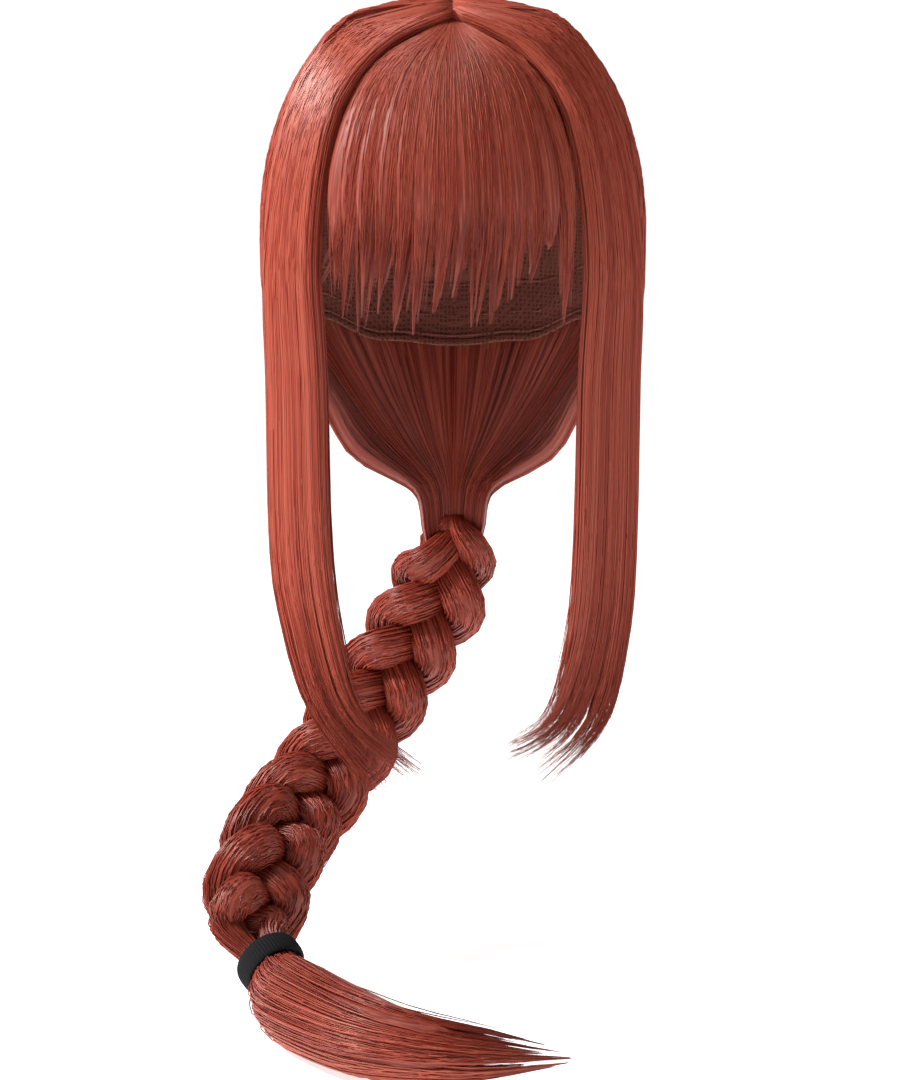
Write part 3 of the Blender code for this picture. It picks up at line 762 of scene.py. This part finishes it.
def side_line(side, edges, place, length, half_share=LOCK_HALF):
    along = np.linspace(0, 1, FINE_STEPS)
    inner, outer = [placed(along_rows(edge, along * length), LOCK_DROP, side) for edge in edges]
    middle = inner + (outer - inner) * np.asarray(place)[..., None]
    middle[:, 0] += side * blend(along, *LOCK_LEAVES_PARTING)
    middle[:, 0] *= blend(along, *ROOTS_TO_MIDDLE)
    centre = hug(middle, UNDER_LOCKS + LOCK_THICKNESS / 2)
    tangent = tangents(centre)
    out = centre - HEAD_CENTRE
    out[:, 2] *= blend(along, *LOCK_UPRIGHT)
    out = square_to(out, tangent)
    taper = blend(along, *LOCK_TAPER)
    half = np.linalg.norm(outer - inner, axis=1) * half_share * taper
    return centre, np.cross(tangent, out), out, half, LOCK_THICKNESS / 2 * taper * blend(along, *LOCK_RISE)


def side_hair(name, side, edges, material, seed):
    rng = np.random.default_rng(seed)
    parts = []
    for row in LOCK_STRANDS:
        parts.append(lock_hair(rng, side_line(side, edges, *row), SIDE_STRANDS, **SIDE_LIE))
    for place in spread_places(rng, *SIDE_WISPS):
        line = side_line(side, edges, place, rng.uniform(*SIDE_WISP_LENGTH), WISP_HALF)
        parts.append(lock_hair(rng, line, SIDE_WISP_STRANDS, **SIDE_WISP_LIE))
    behind = blend(np.linspace(0, 1, FINE_STEPS), *BEHIND_EDGE)
    for share in BACK_WISPS:
        line = side_line(side, edges, BACK_WISP_PLACE + behind * share, BACK_WISP_LENGTH, WISP_HALF)
        parts.append(lock_hair(rng, line, BACK_WISP_STRANDS, **SIDE_WISP_LIE))
    points, outs, sizes, shade = joined(parts)
    return hair_tubes(name, hug(points, UNDER_LOCKS), outs, sizes, shade, material)


def below_nape(shares):
    """Places given as shares, with their drop counted from the end of the crown hair."""
    points = placed(shares, BRAID_DROP)
    points[..., 2] += NAPE_DROP * CROWN_FLOWS[0][-1][2] - END_GAP
    return points


def braid_frames():
    """The braid's middle line from nape to tie, with its own, outward and sideways directions."""
    middle = evenly(below_nape(BRAID_ROUTE), FINE_STEPS * 2)
    return middle, *frames_along(middle, (0, 1, 0))


def braid_line(phase):
    """One strand of the braid. At the tie the three lie packed in its round bore."""
    middle, _, out, sideways = braid_frames()
    along = np.linspace(0, 1, len(middle))
    leaving = smooth_step(0, BRAID_LEFT, along)
    opening = smooth_step(0, BRAID_OPEN, along)
    closing = smooth_step(*BRAID_CLOSING, along)
    first_turn = phase + math.pi / 3
    turn_start, turn_end = BRAID_TURNING
    turn = first_turn + TAU * BRAID_TURNS * np.clip((along - turn_start) / (turn_end - turn_start), 0, 1)
    swing_side = (BRAID_WIDTH - STRAND_WIDTH) / 2 * np.cos(turn)
    swing_out = (BRAID_THICKNESS - STRAND_THICKNESS) / 2 * np.sin(2 * turn)
    woven = sideways * swing_side[:, None] + out * swing_out[:, None]
    at_nape, when_left, when_open = WEAVE_SPREAD
    woven = woven * (at_nape + when_left * leaving + when_open * opening)[:, None]
    bore = TIE_OUTER / 2 - TIE_WALL
    packed = bore / (1 + 2 / math.sqrt(3))
    bound = sideways * math.cos(first_turn) + out * math.sin(first_turn)
    bound = bound * (bore - packed)
    centre = middle + woven + (bound - woven) * closing[:, None]
    own = tangents(centre)
    facing = square_to(out, own)
    at_nape, when_left, when_open = STRAND_SIZE
    loose = (at_nape + when_left * leaving + when_open * opening) * (1 - closing)
    half = STRAND_WIDTH * STRAND_HALF_WIDTH * loose + packed * closing
    thick = STRAND_THICKNESS * STRAND_HALF_THICKNESS * loose + packed * closing
    return centre, np.cross(own, facing), facing, half, thick


def braid_hair(name, phase, material, seed):
    rng = np.random.default_rng(seed)
    points, outs, sizes, shade = lock_hair(rng, braid_line(phase), BRAID_STRANDS, **BRAID_LIE)
    return hair_tubes(name, points, outs, sizes, shade, material)


def tie_frame():
    """The end of the braid's middle line, with its directions there."""
    return [values[-1] for values in braid_frames()]


def tail_line():
    centre, tangent, first_out, _ = tie_frame()
    rows = [centre + tangent * reach for reach in (END_GAP, TIE_WIDTH / 2, TIE_WIDTH)]
    middle = evenly(np.concatenate([rows, below_nape(TAIL_ROUTE)]), FINE_STEPS)
    _, out, sideways = frames_along(middle, first_out)
    form = np.array(TAIL_FORM)
    half = np.interp(np.linspace(0, 1, len(middle)), form[:, 0], form[:, 1]) * TAIL_WIDTH / 2
    return middle, sideways, out, half, half


def tail_hair(name, material, seed):
    rng = np.random.default_rng(seed)
    points, outs, sizes, shade = lock_hair(rng, tail_line(), TAIL_STRANDS, **TAIL_LIE)
    return hair_tubes(name, points, outs, sizes, shade, material)


def lock_body(line, until, rings=28, sides=14):
    """Rings round a lock just inside its outer strands, closing before its tips, and their flow."""
    centre, across, out, half, thick = [read_line(values, np.linspace(0, until, rings)) for values in line]
    shares = np.linspace(0, 1, rings)
    close = BODY_REACH * (blend(shares, *BODY_CLOSING) if until < 1 else np.ones(rings))
    turns = np.arange(sides) * TAU / sides
    wide = np.cos(turns)[None] * (half * close)[:, None]
    high = np.sin(turns)[None] * (thick * close)[:, None]
    points = centre[:, None] + across[:, None] * wide[..., None] + out[:, None] * high[..., None]
    length = np.linalg.norm(np.diff(centre, axis=0), axis=1).sum()
    far = shares[:, None] * np.ones((1, sides)) * length / FLOW_STRETCH
    return points, np.stack([wide, high, far], -1)


def outside_cap(shells):
    return [(hug(points, UNDER_LOCKS), flow) for points, flow in shells]


def body_piece(name, shells, material):
    """Closed smooth shells in one piece. Each vertex keeps its place in the flow of the hair."""
    vertices, flows, quads, caps = [], [], [], []
    count = 0
    for points, flow in shells:
        rings, sides = points.shape[:2]
        index = np.arange(rings * sides).reshape(rings, sides)
        after = np.roll(index, -1, axis=1)
        walls = np.stack([index[:-1], index[1:], after[1:], after[:-1]], -1).reshape(-1, 4)
        fan = np.arange(1, sides - 1)
        near_end = np.stack([index[0, 0] + 0 * fan, index[0, fan], index[0, fan + 1]], -1)
        far_end = np.stack([index[-1, 0] + 0 * fan, index[-1, fan + 1], index[-1, fan]], -1)
        ends = np.concatenate([near_end, far_end])
        flat = points.reshape(-1, 3)
        corners = flat[walls] - flat.mean(0)
        volume = np.einsum("ij,ij->i", corners[:, 0], np.cross(corners[:, 1], corners[:, 2])).sum()
        if volume < 0:
            walls, ends = walls[:, ::-1], ends[:, ::-1]
        vertices.append(flat)
        flows.append(flow.reshape(-1, 3))
        quads.append(walls + count)
        caps.append(ends + count)
        count += len(flat)
    parts = [np.concatenate(rows) for rows in (vertices, quads, caps)]
    piece = mesh_piece(name, *parts, material)
    layer = piece.data.attributes.new("flow", "FLOAT_VECTOR", "POINT")
    layer.data.foreach_set("vector", np.concatenate(flows).astype(np.float32).ravel())


def crown_body(name, side, material):
    """A smooth shell between the inner and the outer strands of the crown hair."""
    rings, columns = CROWN_BODY_GRID
    along = np.linspace(0, 1, rings)[:, None] * np.ones((1, columns))
    across = np.linspace(*CROWN_BODY_EDGES, columns)[None] * np.ones((rings, 1))
    inner, outer = [crown_place(side, across, 0 * across + depth, along)[0] for depth in CROWN_BODY_DEPTHS]
    points = run_on(np.concatenate([outer, inner[:, ::-1]], 1).swapaxes(0, 1)).swapaxes(0, 1)
    across = np.concatenate([across[0], across[0, ::-1] + OTHER_STREAKS])[None] * np.ones((len(points), 1))
    along = np.linspace(0, CROWN_LENGTH, len(points))[:, None] * np.ones_like(across)
    flow = np.stack([across * CROWN_SPAN, 0 * across, along / FLOW_STRETCH], -1)
    body_piece(name, [(points, flow)], material)


def shader_of(name):
    material = bpy.data.materials.new(name)
    material.use_nodes = True
    return material, material.node_tree.nodes, material.node_tree.links


def set_inputs(node, values):
    for name, value in values.items():
        node.inputs[name].default_value = value


def new_node(nodes, kind, values):
    """A new shader node with these values on its inputs."""
    node = nodes.new("ShaderNode" + kind)
    set_inputs(node, values)
    return node


def colour_ramp(nodes, stops):
    """A colour ramp through these stops, each a place and its colour."""
    ramp = nodes.new("ShaderNodeValToRGB")
    elements = ramp.color_ramp.elements
    for place, _ in stops[1:-1]:
        elements.new(place)
    for element, (place, colour) in zip(elements, stops):
        element.position = place
        element.color = (*colour, 1)
    return ramp


def hair_material():
    """Strand colours, which hold painted shade, with a soft sheen, and a fine ripple in the gloss along
    each strand.
    """
    material, nodes, links = shader_of("hair_strands")
    shader = nodes["Principled BSDF"]
    colour = nodes.new("ShaderNodeVertexColor")
    colour.layer_name = "hair_colour_and_shade"
    noise = new_node(nodes, "TexNoise", {"Scale": 420, "Detail": 2})
    place = nodes.new("ShaderNodeTexCoord")
    gloss = new_node(nodes, "MapRange", {"To Min": 0.37, "To Max": 0.44})
    links.new(place.outputs["Object"], noise.inputs["Vector"])
    links.new(noise.outputs["Fac"], gloss.inputs["Value"])
    links.new(gloss.outputs["Result"], shader.inputs["Roughness"])
    links.new(colour.outputs["Color"], shader.inputs["Base Color"])
    set_inputs(shader, {"Specular IOR Level": 0.4, "Specular Tint": (1, 0.9, 0.84, 1)})
    return material


def body_material():
    """Fine streaks of lighter and darker hair that follow the flow stored on the mesh."""
    material, nodes, links = shader_of("hair_body")
    shader = nodes["Principled BSDF"]
    flow = nodes.new("ShaderNodeAttribute")
    flow.attribute_name = "flow"
    fine = new_node(nodes, "TexNoise", {"Scale": 1250, "Detail": 3})
    broad = new_node(nodes, "TexNoise", {"Scale": 420})
    mix = new_node(nodes, "Mix", {"Factor": 0.4})
    ramp = colour_ramp(nodes, STREAK_COLOURS)
    bump = new_node(nodes, "Bump", {"Strength": 0.45, "Distance": 0.0004})
    links.new(flow.outputs["Vector"], fine.inputs["Vector"])
    links.new(flow.outputs["Vector"], broad.inputs["Vector"])
    links.new(fine.outputs["Fac"], mix.inputs["A"])
    links.new(broad.outputs["Fac"], mix.inputs["B"])
    links.new(mix.outputs["Result"], ramp.inputs["Fac"])
    links.new(fine.outputs["Fac"], bump.inputs["Height"])
    links.new(ramp.outputs["Color"], shader.inputs["Base Color"])
    links.new(bump.outputs["Normal"], shader.inputs["Normal"])
    set_inputs(shader, {"Roughness": 0.45, "Specular IOR Level": 0.34})
    return material


def cloth_material():
    """Fine net cloth: small open cells in relief, with a darker colour in the cells that is painted shade.
    """
    material, nodes, links = shader_of("cap_net")
    shader = nodes["Principled BSDF"]
    place = nodes.new("ShaderNodeTexCoord")
    cells = new_node(nodes, "TexVoronoi", {"Scale": 520, "Randomness": 0.25})
    cells.feature = "DISTANCE_TO_EDGE"
    ramp = colour_ramp(nodes, NET_COLOURS)
    bump = new_node(nodes, "Bump", {"Strength": 0.5, "Distance": 0.0003})
    bump.invert = True
    links.new(place.outputs["Object"], cells.inputs["Vector"])
    links.new(cells.outputs["Distance"], ramp.inputs["Fac"])
    links.new(cells.outputs["Distance"], bump.inputs["Height"])
    links.new(ramp.outputs["Color"], shader.inputs["Base Color"])
    links.new(bump.outputs["Normal"], shader.inputs["Normal"])
    set_inputs(shader, {"Roughness": 0.85})
    return material


def elastic_material():
    """Black covered elastic: fine threads that run across the band."""
    material, nodes, links = shader_of("covered_elastic")
    shader = nodes["Principled BSDF"]
    place = nodes.new("ShaderNodeTexCoord")
    noise = new_node(nodes, "TexNoise", {"Scale": 900, "Detail": 3})
    ramp = colour_ramp(nodes, ELASTIC_COLOURS)
    bump = new_node(nodes, "Bump", {"Strength": 0.6, "Distance": 0.0003})
    links.new(place.outputs["Object"], noise.inputs["Vector"])
    links.new(noise.outputs["Fac"], ramp.inputs["Fac"])
    links.new(noise.outputs["Fac"], bump.inputs["Height"])
    links.new(ramp.outputs["Color"], shader.inputs["Base Color"])
    links.new(bump.outputs["Normal"], shader.inputs["Normal"])
    set_inputs(shader, {"Roughness": 0.8, "Specular IOR Level": 0.2})
    return material


def ring_tube(centre, across, out, half, thick, sides):
    """A closed ring of elliptical section round a closed line."""
    count = len(centre)
    turns = np.arange(sides) * TAU / sides
    ring = centre[:, None] + across[:, None] * (np.cos(turns) * half)[None, :, None]
    ring = ring + out[:, None] * (np.sin(turns) * thick)[None, :, None]
    index = np.arange(count * sides).reshape(count, sides)
    ahead = np.roll(index, -1, axis=0)
    quads = np.stack([index, np.roll(index, -1, axis=1), np.roll(ahead, -1, axis=1), ahead], -1)
    return ring.reshape(-1, 3), quads.reshape(-1, 4)


def elastic_tie(material):
    """A gathered band round the braid's end, ribbed across."""
    centre, tangent, out, sideways = tie_frame()
    turns = np.arange(TIE_STEPS) * TAU / TIE_STEPS
    band = np.arange(TIE_SIDES) * TAU / TIE_SIDES
    radial = np.cos(turns)[:, None] * sideways + np.sin(turns)[:, None] * out
    rib = TIE_RIB * np.cos(TIE_RIBS * turns)[:, None] * np.maximum(np.cos(band), 0)[None]
    reach = (TIE_OUTER - TIE_WALL) / 2 + (TIE_WALL / 2 + rib) * np.cos(band)[None]
    height = TIE_WIDTH / 2 * np.sign(np.sin(band)) * np.abs(np.sin(band)) ** TIE_SECTION_POWER
    points = centre + radial[:, None] * reach[..., None] + tangent * height[None, :, None]
    index = np.arange(TIE_STEPS * TIE_SIDES).reshape(TIE_STEPS, TIE_SIDES)
    ahead = np.roll(index, -1, axis=0)
    quads = np.stack([index, ahead, np.roll(ahead, -1, axis=1), np.roll(index, -1, axis=1)], -1)
    tie = mesh_piece("elastic_tie", points.reshape(-1, 3), quads.reshape(-1, 4), NO_TRIANGLES, material)
    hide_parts("hair_tie")


def cap_edge_height(turn):
    rows = np.array(CAP_EDGE)
    degrees = np.abs(np.degrees(turn))
    index = np.clip(np.searchsorted(rows[:, 0], degrees) - 1, 0, len(rows) - 2)
    part = smooth_step(rows[index, 0], rows[index + 1, 0], degrees)
    return -CAP_DEPTH * (rows[index, 1] + (rows[index + 1, 1] - rows[index, 1]) * part)


def weft_rows(material):
    """Narrow sewn rows round the inside of the cap, and a binding along its edge."""
    turn = np.linspace(-math.pi, math.pi, WEFT_STEPS + 1)[:-1]
    edge = cap_edge_height(turn)
    vertices = []
    quads = []
    count = 0
    for share, half in [(step / WEFT_ROWS, WEFT_HALF) for step in range(FIRST_WEFT, WEFT_ROWS)] + [BINDING]:
        down = edge * math.sin(share * math.pi / 2) ** 2
        centre = form_round(turn, down, WEFT_LIFT)
        tangent = unit(np.roll(centre, -1, axis=0) - np.roll(centre, 1, axis=0))
        out = square_to(centre - HEAD_CENTRE, tangent)
        points, faces = ring_tube(centre, np.cross(tangent, out), out, half, WEFT_THICK, WEFT_SIDES)
        vertices.append(points)
        quads.append(faces + count)
        count += len(points)
    parts = [np.concatenate(rows) for rows in (vertices, quads)]
    rows = mesh_piece("weft_rows", *parts, NO_TRIANGLES, material)


def aimed(data, place, target):
    obj = bpy.data.objects.new(data.name, data)
    obj.location = place
    obj.rotation_euler = (Vector(target) - Vector(place)).to_track_quat("-Z", "Y").to_euler()
    bpy.context.scene.collection.objects.link(obj)
    return obj


def area_light(name, place, size, energy):
    light = bpy.data.lights.new(name, "AREA")
    light.shape = "DISK"
    light.size = size
    light.energy = energy
    aimed(light, place, LIGHT_TARGET)


def camera_view(scene):
    camera = bpy.data.cameras.new("camera")
    camera.sensor_fit = "VERTICAL"
    camera.sensor_height = CAMERA_SENSOR
    camera.lens = CAMERA_LENS
    camera.clip_end = 50
    target = Vector(CAMERA_TARGET)
    away = Vector((0, -math.cos(CAMERA_PITCH), math.sin(CAMERA_PITCH)))
    scene.camera = aimed(camera, target + away * CAMERA_DISTANCE, target)
    scene.view_settings.view_transform = "Standard"


def world_light(scene):
    """A pale room whose light changes with the direction that it comes from."""
    world = bpy.data.worlds.new("studio")
    scene.world = world
    world.use_nodes = True
    nodes, links = world.node_tree.nodes, world.node_tree.links
    back = nodes["Background"]
    set_inputs(back, {"Color": (1, 1, 1, 1)})
    place = nodes.new("ShaderNodeTexCoord")
    split = nodes.new("ShaderNodeSeparateXYZ")
    links.new(place.outputs["Generated"], split.inputs["Vector"])
    height = nodes.new("ShaderNodeMath")
    height.operation = "ABSOLUTE"
    links.new(split.outputs["Z"], height.inputs[0])
    directions = {"X": split.outputs["X"], "Y": split.outputs["Y"], "height": height.outputs["Value"]}
    strength = None
    for direction, *values in WORLD_FADES:
        fade = new_node(nodes, "MapRange", dict(zip(("From Min", "From Max", "To Min", "To Max"), values)))
        fade.interpolation_type = "SMOOTHSTEP"
        links.new(directions[direction], fade.inputs["Value"])
        if strength is None:
            strength = fade.outputs["Result"]
            continue
        product = nodes.new("ShaderNodeMath")
        product.operation = "MULTIPLY"
        links.new(strength, product.inputs[0])
        links.new(fade.outputs["Result"], product.inputs[1])
        strength = product.outputs["Value"]
    links.new(strength, back.inputs["Strength"])


def pale_floor(height):
    bpy.ops.mesh.primitive_plane_add(size=FLOOR_SIZE, location=(0, 0, height))
    floor = bpy.context.object
    floor.name = "floor"
    material, nodes, _ = shader_of("pale_floor")
    set_inputs(nodes["Principled BSDF"], FLOOR_LOOKS)
    floor.data.materials.append(material)


def studio(floor_height):
    """Camera, pale floor and soft light, brighter from the upper left."""
    scene = bpy.context.scene
    camera_view(scene)
    world_light(scene)
    for row in LIGHTS:
        area_light(*row)
    pale_floor(floor_height)


def dress(piece, node):
    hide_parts(node)


def main():
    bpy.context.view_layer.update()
    low = min(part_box(node)[0].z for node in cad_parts)
    studio(low - FLOOR_GAP)
    hair = hair_material()
    body = body_material()
    crown_body("crown_body_left", -1, body)
    crown_body("crown_body_right", 1, body)
    shells = [lock_body(fringe_line(*row), FRINGE_BODY_END) for row in FRINGE_LOCKS]
    body_piece("fringe_body", outside_cap(shells), body)
    for name, side, edges in SIDE_LOCKS:
        shells = [lock_body(side_line(side, edges, *row), SIDE_BODY_END) for row in LOCK_STRANDS]
        body_piece("side_body_" + name, outside_cap(shells), body)
    for index in range(3):
        line = braid_line(TAU * index / 3)
        body_piece(f"braid_body_{index + 1}", [lock_body(line, 1, rings=110)], body)
    body_piece("tail_body", [lock_body(tail_line(), TAIL_BODY_END, rings=40, sides=24)], body)
    dress(crown_hair("crown_strands_left", -1, hair, 11), "crown_hair_left")
    dress(crown_hair("crown_strands_right", 1, hair, 12), "crown_hair_right")
    dress(fringe_hair("fringe_strands", hair, 13), "fringe")
    for seed, (name, side, edges) in enumerate(SIDE_LOCKS):
        dress(side_hair("side_strands_" + name, side, edges, hair, 14 + seed), "side_lock_" + name)
    for index in range(3):
        piece = braid_hair(f"braid_fibres_{index + 1}", TAU * index / 3, hair, 16 + index)
        dress(piece, f"braid_strand_{index + 1}")
    dress(tail_hair("tail_strands", hair, 19), "braid_tail")
    cloth = cloth_material()
    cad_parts["cap"].material_slots[0].material = cloth
    weft_rows(cloth)
    elastic_tie(elastic_material())


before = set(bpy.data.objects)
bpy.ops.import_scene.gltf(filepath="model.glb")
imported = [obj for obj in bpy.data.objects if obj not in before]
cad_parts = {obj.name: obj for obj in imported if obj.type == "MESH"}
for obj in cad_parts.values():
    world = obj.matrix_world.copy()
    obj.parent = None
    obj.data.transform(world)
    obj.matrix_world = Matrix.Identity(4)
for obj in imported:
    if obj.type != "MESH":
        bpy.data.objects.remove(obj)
main()
